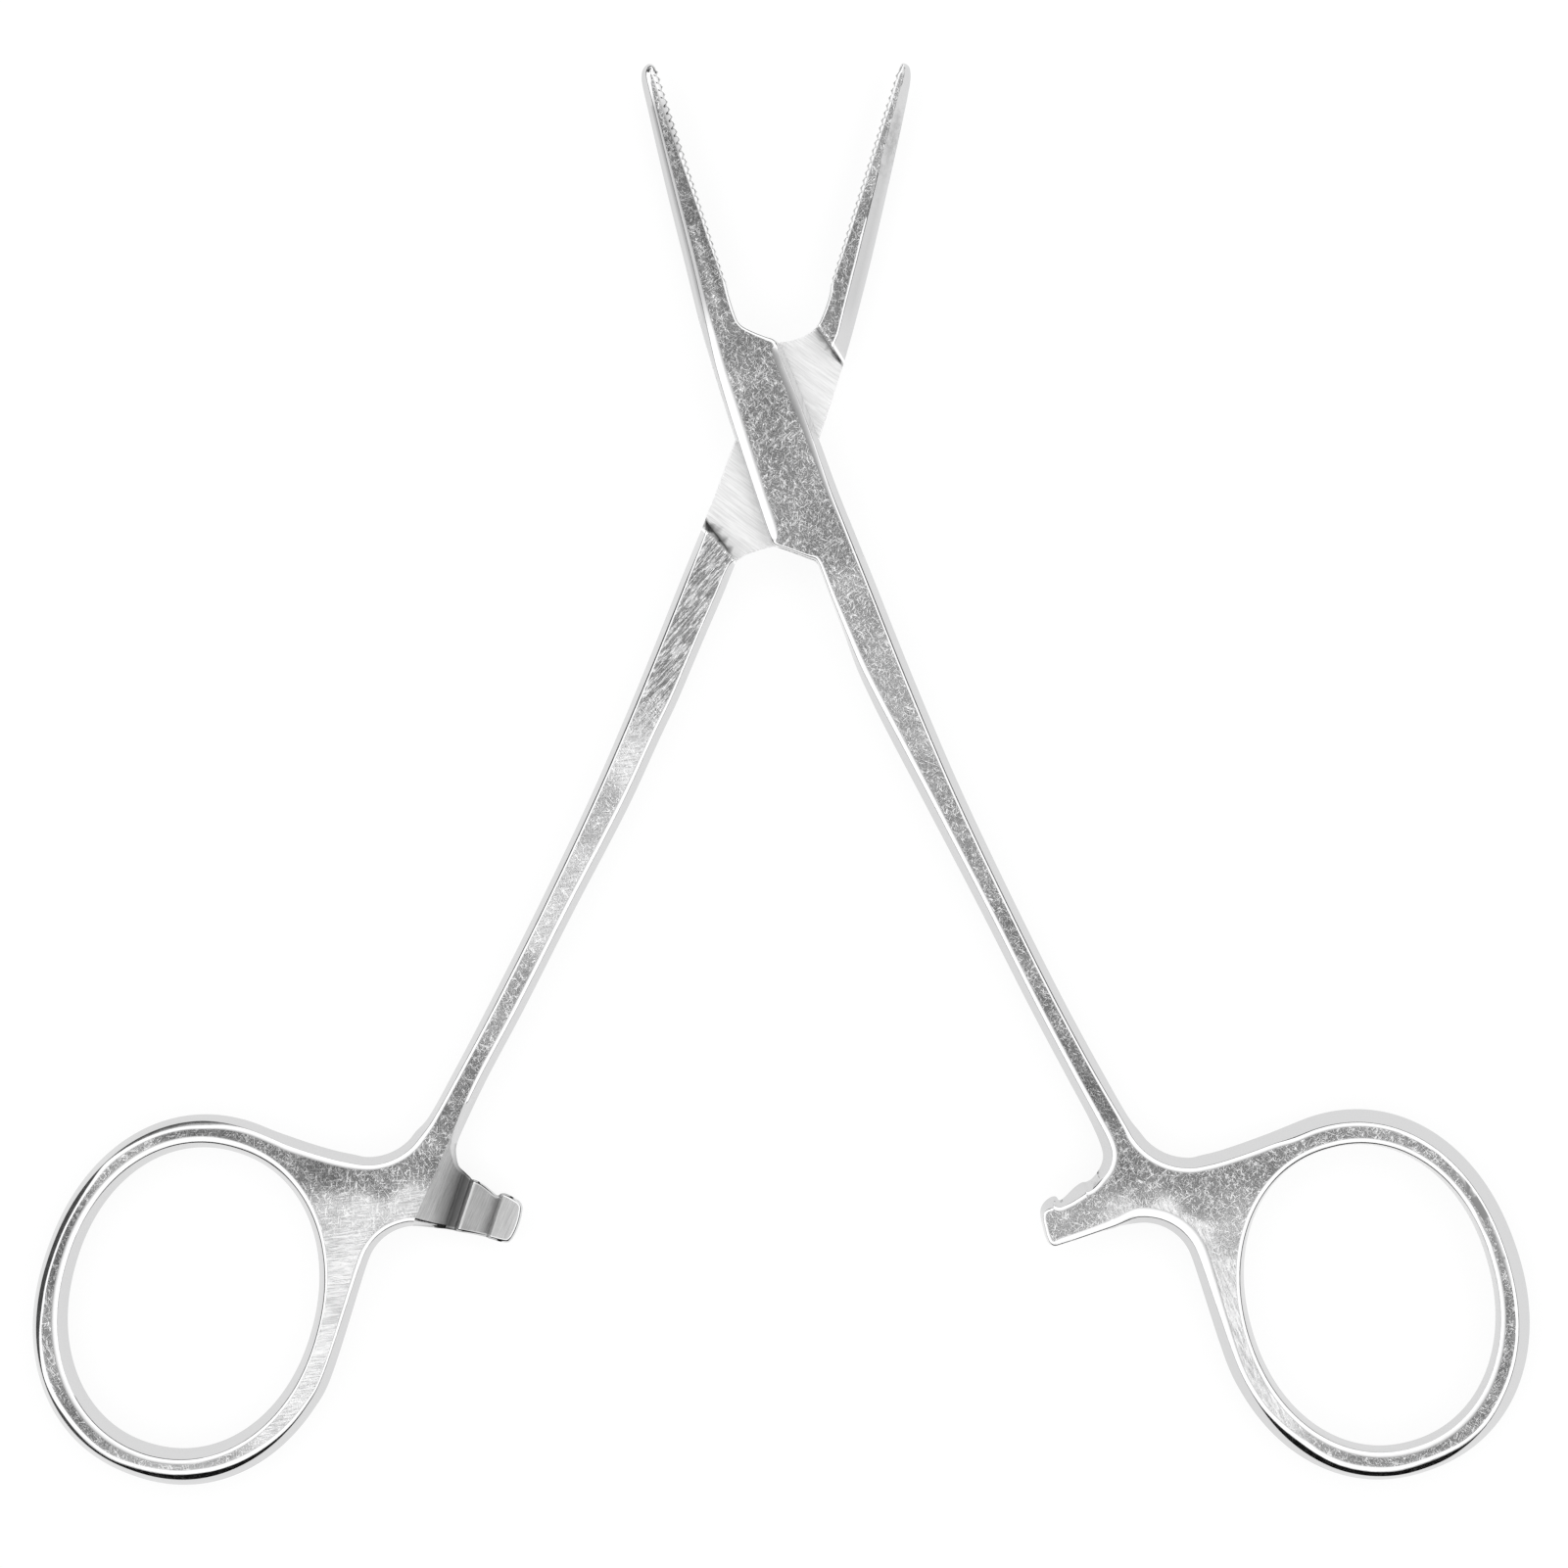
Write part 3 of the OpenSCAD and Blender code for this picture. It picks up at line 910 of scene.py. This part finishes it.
def store(mesh, name, values):
    """Keeps one value for each point on plan, the same above and below."""
    layer = mesh.attributes.new(name, "FLOAT", "POINT")
    layer.data.foreach_set("value", np.concatenate([values, values]).astype(np.float32))


def drop_loose(mesh):
    """Deletes the points that no face uses."""
    bm = bmesh.new()
    bm.from_mesh(mesh)
    loose = [v for v in bm.verts if not v.link_faces]
    bmesh.ops.delete(bm, geom=loose, context="VERTS")
    bm.to_mesh(mesh)
    bm.free()
    mesh.update()


def forged_arm(name, arm, tongue):
    """One arm as a closed mesh: a top and a bottom that share the outline."""
    loops = [arm_outline(arm, tongue), hole_outline(tongue)]
    plan, tris = plan_mesh(loops, crease_lines(tongue))
    x, y = plan.T
    dist, widths = nearest(plan, loops)
    top, bottom = faces_of(tongue, x, y)
    rim = edge_z(top, bottom)
    upright = 0 * y if tongue else SLOT_HALF * ease((11.2 - np.abs(y)) / 0.8)
    z_top = rim + rise(dist, widths, top - rim, upright)
    z_bottom = rim - rise(dist, widths, rim - bottom, upright)
    cut_x = serrated(tongue, x, y)
    verts = np.concatenate([np.stack([cut_x, y, z], 1) for z in (z_top, z_bottom)])

    on_edge = dist < 1e-4
    upper = np.arange(len(plan))
    lower = np.where(on_edge, upper, upper + len(plan))
    tris = tris[~on_edge[tris].all(1)]
    faces = np.concatenate([tris, lower[tris][:, ::-1]])
    if tongue:
        verts = verts * [-1, 1, 1]
        faces = faces[:, ::-1]
    mesh = bpy.data.meshes.new(name)
    mesh.from_pydata(verts.tolist(), [], faces.tolist())

    # Finish of the flats, with painted shade and highlight in it
    store(mesh, "finish_and_painted_light", finish_and_painted_light_of(tongue, x, y))
    # Painted shade, and below 0 painted highlight
    store(mesh, "painted_light", painted_light_of(tongue, x, y, dist))
    flat = dist > widths[:3].sum(0) - 0.01
    indices = material_indices(tongue, plan, tris, flat[tris].all(1))
    mesh.polygons.foreach_set("material_index", indices.astype(np.int32))
    drop_loose(mesh)
    return add_part(name, mesh, arm_turn(tongue))


def prism(name, outline, low, high, turn):
    """Closed prism over a convex outline, to cut with."""
    bm = bmesh.new()
    rings = [[bm.verts.new((px, py, z)) for px, py in outline] for z in (low, high)]
    bm.faces.new(rings[0][::-1])
    bm.faces.new(rings[1])
    for i in range(len(outline)):
        j = (i + 1) % len(outline)
        bm.faces.new([rings[0][i], rings[0][j], rings[1][j], rings[1][i]])
    mesh = bpy.data.meshes.new(name)
    bm.to_mesh(mesh)
    bm.free()
    return add_part(name, mesh, turn)


def carve(obj, cutters):
    """Cuts each cutter out of obj for good."""
    for cutter in cutters:
        step = obj.modifiers.new("cut", "BOOLEAN")
        step.operation = "DIFFERENCE"
        step.object = cutter
        step.solver = "EXACT"
    dg = bpy.context.evaluated_depsgraph_get()
    mesh = bpy.data.meshes.new_from_object(obj.evaluated_get(dg))
    obj.modifiers.clear()
    obj.data = mesh
    for cutter in cutters:
        bpy.data.objects.remove(cutter)


def box_slot():
    """Space between the plates of the box, with its two slanted ends."""
    outline = [(-5, -10.64), (-0.6, -10.64), (5, -6.53), (5, 10.3), (0.7, 10.3), (-5, 5.39)]
    return prism("slot_cutter", outline, -SLOT_HALF, SLOT_HALF, arm_turn(False))


PIN_SIDES = 72


def pin_hole():
    """Hole for the pin, through both plates of the box."""
    angles = np.linspace(0, 2 * math.pi, PIN_SIDES, endpoint=False)
    circle = [(PIN_R * math.cos(a), PIN_R * math.sin(a)) for a in angles]
    return prism("pin_cutter", circle, -10, 10, Matrix.Identity(4))


def flush_pin(name):
    """The pivot pin: its two ends are ground flush, with a hair of chamfer."""
    hair = 0.015
    side = PIN_R - 0.4 * hair
    end = PIN_R - 2 * hair
    upper = [(side, BOX_HALF - hair), (end, BOX_HALF), (0.5 * PIN_R, BOX_HALF), (0, BOX_HALF)]
    profile = [(r, -z) for r, z in reversed(upper)] + upper
    bm = bmesh.new()
    ring = [bm.verts.new((r, 0, z)) for r, z in profile]
    edges = [bm.edges.new((a, b)) for a, b in zip(ring, ring[1:])]
    whole = 2 * math.pi
    bmesh.ops.spin(
        bm, geom=ring + edges, axis=(0, 0, 1), cent=(0, 0, 0), steps=PIN_SIDES, angle=whole
    )
    bmesh.ops.remove_doubles(bm, verts=bm.verts, dist=1e-4)
    bmesh.ops.recalc_face_normals(bm, faces=bm.faces)
    mesh = bpy.data.meshes.new(name)
    bm.to_mesh(mesh)
    bm.free()
    return add_part(name, mesh, Matrix.Identity(4))


# Least turn, in degrees, that shows as a sharp corner
ARM_CORNER = 17
PIN_CORNER = 32


def soften(obj, sharp_deg):
    """Smooth shading that keeps flats flat and sharp corners sharp."""
    mesh = obj.data
    mesh.polygons.foreach_set("use_smooth", [True] * len(mesh.polygons))
    mesh.set_sharp_from_angle(angle=math.radians(sharp_deg))
    weighted = obj.modifiers.new("flats", "WEIGHTED_NORMAL")
    weighted.keep_sharp = True
    weighted.weight = 70


# ---------------------------------------------------------------- materials


class Nodes:
    """Short names for building a node tree."""

    def __init__(self, material):
        material.use_nodes = True
        self.tree = material.node_tree
        self.tree.nodes.clear()

    def add(self, kind, **settings):
        node = self.tree.nodes.new(kind)
        for key, value in settings.items():
            setattr(node, key, value)
        return node

    def link(self, out, into):
        self.tree.links.new(out, into)

    def math(self, operation, *values):
        """Result of an operation on numbers or sockets."""
        node = self.add("ShaderNodeMath", operation=operation)
        for i, value in enumerate(values):
            if isinstance(value, (int, float)):
                node.inputs[i].default_value = value
            else:
                self.link(value, node.inputs[i])
        return node.outputs[0]

    def millimetres(self, turn_deg):
        """Place on the part in millimetres, along the arm's own axes."""
        place = self.add("ShaderNodeTexCoord").outputs["Object"]
        turned = self.add("ShaderNodeVectorRotate", rotation_type="Z_AXIS")
        turned.inputs["Angle"].default_value = math.radians(turn_deg)
        self.link(place, turned.inputs["Vector"])
        scaled = self.add("ShaderNodeVectorMath", operation="SCALE")
        scaled.inputs["Scale"].default_value = 1 / MM
        self.link(turned.outputs[0], scaled.inputs[0])
        return scaled.outputs[0]

    def streaks(self, place, angle, length, width, detail=2.0, rough=0.5):
        """Noise drawn out along one direction on the flat."""
        turned = self.add("ShaderNodeVectorRotate", rotation_type="Z_AXIS")
        turned.inputs["Angle"].default_value = math.radians(-angle)
        self.link(place, turned.inputs["Vector"])
        sized = self.add("ShaderNodeVectorMath", operation="MULTIPLY")
        sized.inputs[1].default_value = (1 / length, 1 / width, 1 / width)
        self.link(turned.outputs[0], sized.inputs[0])
        noise = self.add("ShaderNodeTexNoise")
        noise.inputs["Scale"].default_value = 1.0
        noise.inputs["Detail"].default_value = detail
        noise.inputs["Roughness"].default_value = rough
        self.link(sized.outputs[0], noise.inputs["Vector"])
        return noise.outputs["Fac"]

    def noise(self, place, scale, detail=2.0):
        """Noise that is the same size in all directions."""
        noise = self.add("ShaderNodeTexNoise")
        noise.inputs["Scale"].default_value = scale
        noise.inputs["Detail"].default_value = detail
        self.link(place, noise.inputs["Vector"])
        return noise.outputs["Fac"]

    def fit(self, value, low, high, to_low, to_high):
        """value moved from one range to another, and held at its ends."""
        node = self.add("ShaderNodeMapRange")
        ends = {"From Min": low, "From Max": high, "To Min": to_low, "To Max": to_high}
        for key, number in ends.items():
            node.inputs[key].default_value = number
        self.link(value, node.inputs["Value"])
        return node.outputs[0]

    def mix(self, fac, a, b):
        """a where fac is 0 and b where it is 1, for plain numbers."""
        part_a = self.math("MULTIPLY", a, self.math("SUBTRACT", 1.0, fac))
        return self.math("ADD", part_a, self.math("MULTIPLY", b, fac))

    def metal(self, tint, rough, height, depth_mm, shade=1.0):
        """Steel with this roughness and relief; shade and the painted light stored on the mesh scale
        its colour, darker for painted shade and lighter for painted highlight.
        """
        steel = self.add("ShaderNodeBsdfPrincipled")
        steel.inputs["Metallic"].default_value = 1.0
        # Painted shade above 0 and painted highlight below 0, stored on the mesh
        painted_light = self.add("ShaderNodeAttribute", attribute_name="painted_light").outputs["Fac"]
        colour = self.add("ShaderNodeVectorMath", operation="SCALE")
        colour.inputs[0].default_value = tint
        painted_scale = self.math("SUBTRACT", 1.0, painted_light)
        self.link(self.math("MULTIPLY", painted_scale, shade), colour.inputs["Scale"])
        self.link(colour.outputs[0], steel.inputs["Base Color"])
        self.link(rough, steel.inputs["Roughness"])
        bump = self.add("ShaderNodeBump")
        bump.inputs["Strength"].default_value = 1.0
        bump.inputs["Distance"].default_value = depth_mm * MM
        self.link(height, bump.inputs["Height"])
        self.link(bump.outputs[0], steel.inputs["Normal"])
        out = self.add("ShaderNodeOutputMaterial")
        self.link(steel.outputs[0], out.inputs["Surface"])


STEEL = (0.715, 0.715, 0.718)
# Lengths and widths of the marks on the flats, in millimetres
SCRATCH = (0.72, 0.11)
FILE_MARK = (1.6, 0.13)
GRINDING_LINE = (1.4, 0.12)
SCRATCH_ANGLES = (22, 63, -37, -74)


def satin_steel(name, turn_deg, grain_deg, hatched=False):
    """Flat faces: short scratches all ways, or one-way grinding, by the finish; above 0 the finish
    also paints a highlight, and below 0 a shade.

    A hatched arm also has long parallel file marks on the root of its shank.
    """
    material = bpy.data.materials.new(name)
    n = Nodes(material)
    place = n.millimetres(turn_deg)
    finish_and_painted_light = n.add("ShaderNodeAttribute", attribute_name="finish_and_painted_light").outputs["Fac"]
    # Above 0: ground one way, with a painted highlight
    ground_and_highlight = n.math("MAXIMUM", finish_and_painted_light, 0.0)
    # Below 0: painted shade only
    painted_shade_share = n.math("MINIMUM", finish_and_painted_light, 0.0)
    scratched = 0.0
    for i, angle in enumerate(SCRATCH_ANGLES):
        apart = n.add("ShaderNodeVectorMath", operation="ADD")
        apart.inputs[1].default_value = (7.3 * i, 3.1 * i, 11.7 * i)
        n.link(place, apart.inputs[0])
        layer = n.fit(n.streaks(apart.outputs[0], angle, *SCRATCH, 0.8), 0.57, 0.7, 0.0, 1.0)
        scratched = n.math("MAXIMUM", scratched, layer)
    if hatched:
        split = n.add("ShaderNodeSeparateXYZ")
        n.link(place, split.inputs[0])
        y = split.outputs["Y"]
        low_end = n.fit(y, -27.0, -21.0, 0.0, 1.0)
        high_end = n.fit(y, -7.0, -9.0, 0.0, 1.0)
        here = n.math("MULTIPLY", low_end, high_end)
        hatch = n.fit(n.streaks(place, 66, *FILE_MARK, 1.0), 0.44, 0.58, 0.0, 1.0)
        scratched = n.mix(n.math("MULTIPLY", here, 0.85), scratched, hatch)
    ground = n.fit(n.streaks(place, grain_deg, *GRINDING_LINE, 3.0), 0.36, 0.62, 0.0, 1.0)
    height = n.mix(n.fit(finish_and_painted_light, 0.35, 0.85, 0.0, 1.0), scratched, ground)
    cloud = n.noise(place, 0.3, 3.0)
    rough = n.math("ADD", n.fit(cloud, 0.3, 0.7, 0.24, 0.34), n.math("MULTIPLY", ground_and_highlight, 0.34))
    # Where ground, the grain is fainter and the colour lighter, partly a painted highlight
    contrast = n.fit(ground_and_highlight, 0.0, 1.0, 0.78, 0.36)
    shade = n.math("MULTIPLY", contrast, n.math("SUBTRACT", 1.0, height))
    shade = n.math("SUBTRACT", n.fit(ground_and_highlight, 0.0, 1.0, 1.42, 1.2), shade)
    # Painted shade where the finish is below 0
    shade = n.math("MULTIPLY", shade, n.fit(painted_shade_share, -1.0, 0.0, 0.62, 1.0))
    # Painted highlight where the finish is above 0
    shade = n.math("MULTIPLY", shade, n.math("ADD", 1.0, n.math("MULTIPLY", ground_and_highlight, 0.3)))
    shade = n.math("MULTIPLY", shade, n.fit(cloud, 0.3, 0.7, 0.88, 1.08))
    n.metal(STEEL, rough, height, 0.05, shade)
    return material


def polished_steel(name, turn_deg):
    """Bevels and sides: nearly a mirror, with faint waves and fine nicks."""
    material = bpy.data.materials.new(name)
    n = Nodes(material)
    place = n.millimetres(turn_deg)
    waves = n.noise(place, 0.8, 2.0)
    grain = n.streaks(place, 80, 0.9, 0.05, 2.0)
    height = n.math("ADD", n.math("MULTIPLY", waves, 0.8), n.math("MULTIPLY", grain, 0.12))
    rough = n.fit(n.noise(place, 2.2, 3.0), 0.3, 0.7, 0.08, 0.16)
    n.metal([0.92 * c for c in STEEL], rough, height, 0.012)
    return material


def ground_steel(name, turn_deg, grain_deg, rough, tint, shade_low):
    """Faces ground finely one way; the rougher, the whiter they look."""
    material = bpy.data.materials.new(name)
    n = Nodes(material)
    place = n.millimetres(turn_deg)
    fine = n.streaks(place, grain_deg, 2.2, 0.1, 3.0, 0.6)
    rough = n.fit(n.noise(place, 1.2, 2.0), 0.3, 0.7, rough - 0.04, rough + 0.04)
    n.metal((tint, tint, tint), rough, fine, 0.02, n.fit(fine, 0.34, 0.6, shade_low, 1.0))
    return material


def paint(obj, *materials):
    """Gives a piece its materials, in the order of its indices."""
    for material in materials:
        obj.data.materials.append(material)


# ---------------------------------------------------------------- the object

box_piece = forged_arm("slotted_arm_forging", BOX_ARM, False)
box_satin = satin_steel("box_arm_satin", -HALF_OPEN, -84)
paint(
    box_piece,
    box_satin,
    polished_steel("box_arm_polish", -HALF_OPEN),
    ground_steel("box_ratchet", -HALF_OPEN, 88, 0.45, 0.75, 0.75),
)
carve(box_piece, [box_slot(), pin_hole()])
soften(box_piece, ARM_CORNER)

tongue_piece = forged_arm("tongue_arm_forging", TONGUE_ARM, True)
paint(
    tongue_piece,
    satin_steel("tongue_arm_satin", HALF_OPEN, 26, hatched=True),
    polished_steel("tongue_arm_polish", HALF_OPEN),
    ground_steel("tongue_ratchet", HALF_OPEN, 84, 0.5, 0.72, 0.8),
    # Its near-white tint is partly a painted highlight, for the light its fine grinding picks up
    ground_steel("tongue_ground", HALF_OPEN, -18, 0.6, 0.97, 0.84),
)
soften(tongue_piece, ARM_CORNER)

pin_piece = flush_pin("pivot_pin_flush")
paint(pin_piece, box_satin)
soften(pin_piece, PIN_CORNER)

for piece, body, slot, node in (
    (box_piece, "slotted_arm", "box_arm_steel", "box_arm"),
    (tongue_piece, "inner_arm", "tongue_arm_steel", "tongue_arm"),
    (pin_piece, "slotted_arm", "pin_steel", "pivot_pin"),
):
    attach(piece, body)
    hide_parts(node)

# ---------------------------------------------------------------- the stage


# Side of the floor and its gap below the part, in millimetres
FLOOR_SIZE = 3000
FLOOR_GAP = 0.02


def floor():
    """Plain floor that glows a little, so that the part throws no shadow."""
    material = bpy.data.materials.new("pale_floor")
    n = Nodes(material)
    place = n.add("ShaderNodeTexCoord").outputs["Object"]
    white = n.add("ShaderNodeBsdfPrincipled")
    white.inputs["Base Color"].default_value = (0.14, 0.14, 0.14, 1)
    white.inputs["Emission Color"].default_value = (1, 1, 1, 1)
    white.inputs["Emission Strength"].default_value = 0.86
    n.link(n.fit(n.noise(place, 40.0), 0.3, 0.7, 0.75, 0.85), white.inputs["Roughness"])
    out = n.add("ShaderNodeOutputMaterial")
    n.link(white.outputs[0], out.inputs["Surface"])
    bm = bmesh.new()
    bmesh.ops.create_grid(bm, x_segments=8, y_segments=8, size=FLOOR_SIZE / 2 * MM)
    mesh = bpy.data.meshes.new("floor")
    bm.to_mesh(mesh)
    bm.free()
    mesh.materials.append(material)
    obj = add_object("floor", mesh)
    obj.location = (0, 0, cad_box[0].z - FLOOR_GAP * MM)


# Grey of the light by height, from level (0) to straight up (1)
TENT_GREYS = [(0, 0.04), (0.32, 0.05), (0.44, 0.9), (0.72, 0.9), (0.84, 0.56), (0.94, 0.3), (1, 0.2)]


def studio_light():
    """A tent of soft light: bright sides, a dimmer crown, a dark way in."""
    world = bpy.data.worlds.new("tent")
    bpy.context.scene.world = world
    n = Nodes(world)
    way = n.add("ShaderNodeTexCoord").outputs["Generated"]
    split = n.add("ShaderNodeSeparateXYZ")
    n.link(way, split.inputs[0])
    x, y, z = split.outputs
    ramp = n.add("ShaderNodeValToRGB")
    while len(ramp.color_ramp.elements) < len(TENT_GREYS):
        ramp.color_ramp.elements.new(0.5)
    for element, (at, grey) in zip(ramp.color_ramp.elements, TENT_GREYS):
        element.position = at
        element.color = (grey, grey, grey, 1)
    n.link(z, ramp.inputs[0])
    flat = n.math("SQRT", n.math("ADD", n.math("MULTIPLY", x, x), n.math("MULTIPLY", y, y)))
    facing = n.math("DIVIDE", n.math("MULTIPLY", y, -1.0), n.math("ADD", flat, 1e-4))
    low = n.fit(z, 0.42, 0.52, 1.0, 0.0)
    doorway = n.math("MULTIPLY", n.fit(facing, 0.62, 0.8, 0.0, 1.0), low)
    lit = n.math("SUBTRACT", 1.0, n.math("MULTIPLY", doorway, 0.93))
    light = n.math("MULTIPLY", ramp.outputs[0], lit)
    background = n.add("ShaderNodeBackground")
    n.link(n.math("MULTIPLY", light, 2.3), background.inputs["Strength"])
    out = n.add("ShaderNodeOutputWorld")
    n.link(background.outputs[0], out.inputs["Surface"])


# The camera's distance, and how far the middle of its frame is from the middle
# of the part, in millimetres
CAMERA_DISTANCE = 450
FRAME_SHIFT = Vector((0.22, -0.79, 0))
# How many times wider than the part the frame is
FRAME_MARGIN = 1.0475


def camera():
    """Camera straight above the part, looking down."""
    lo, hi = cad_box
    distance = CAMERA_DISTANCE * MM
    frame_width = FRAME_MARGIN * (hi.x - lo.x)
    aim = (lo + hi) / 2 + FRAME_SHIFT * MM
    data = bpy.data.cameras.new("camera")
    data.sensor_width = 36
    data.lens = data.sensor_width * distance / frame_width
    data.clip_start = 0.01
    data.clip_end = 10
    obj = add_object("camera", data)
    obj.location = (aim.x, aim.y, hi.z / 2 + distance)
    bpy.context.scene.camera = obj


floor()
studio_light()
camera()
bpy.context.scene.view_settings.view_transform = "Standard"
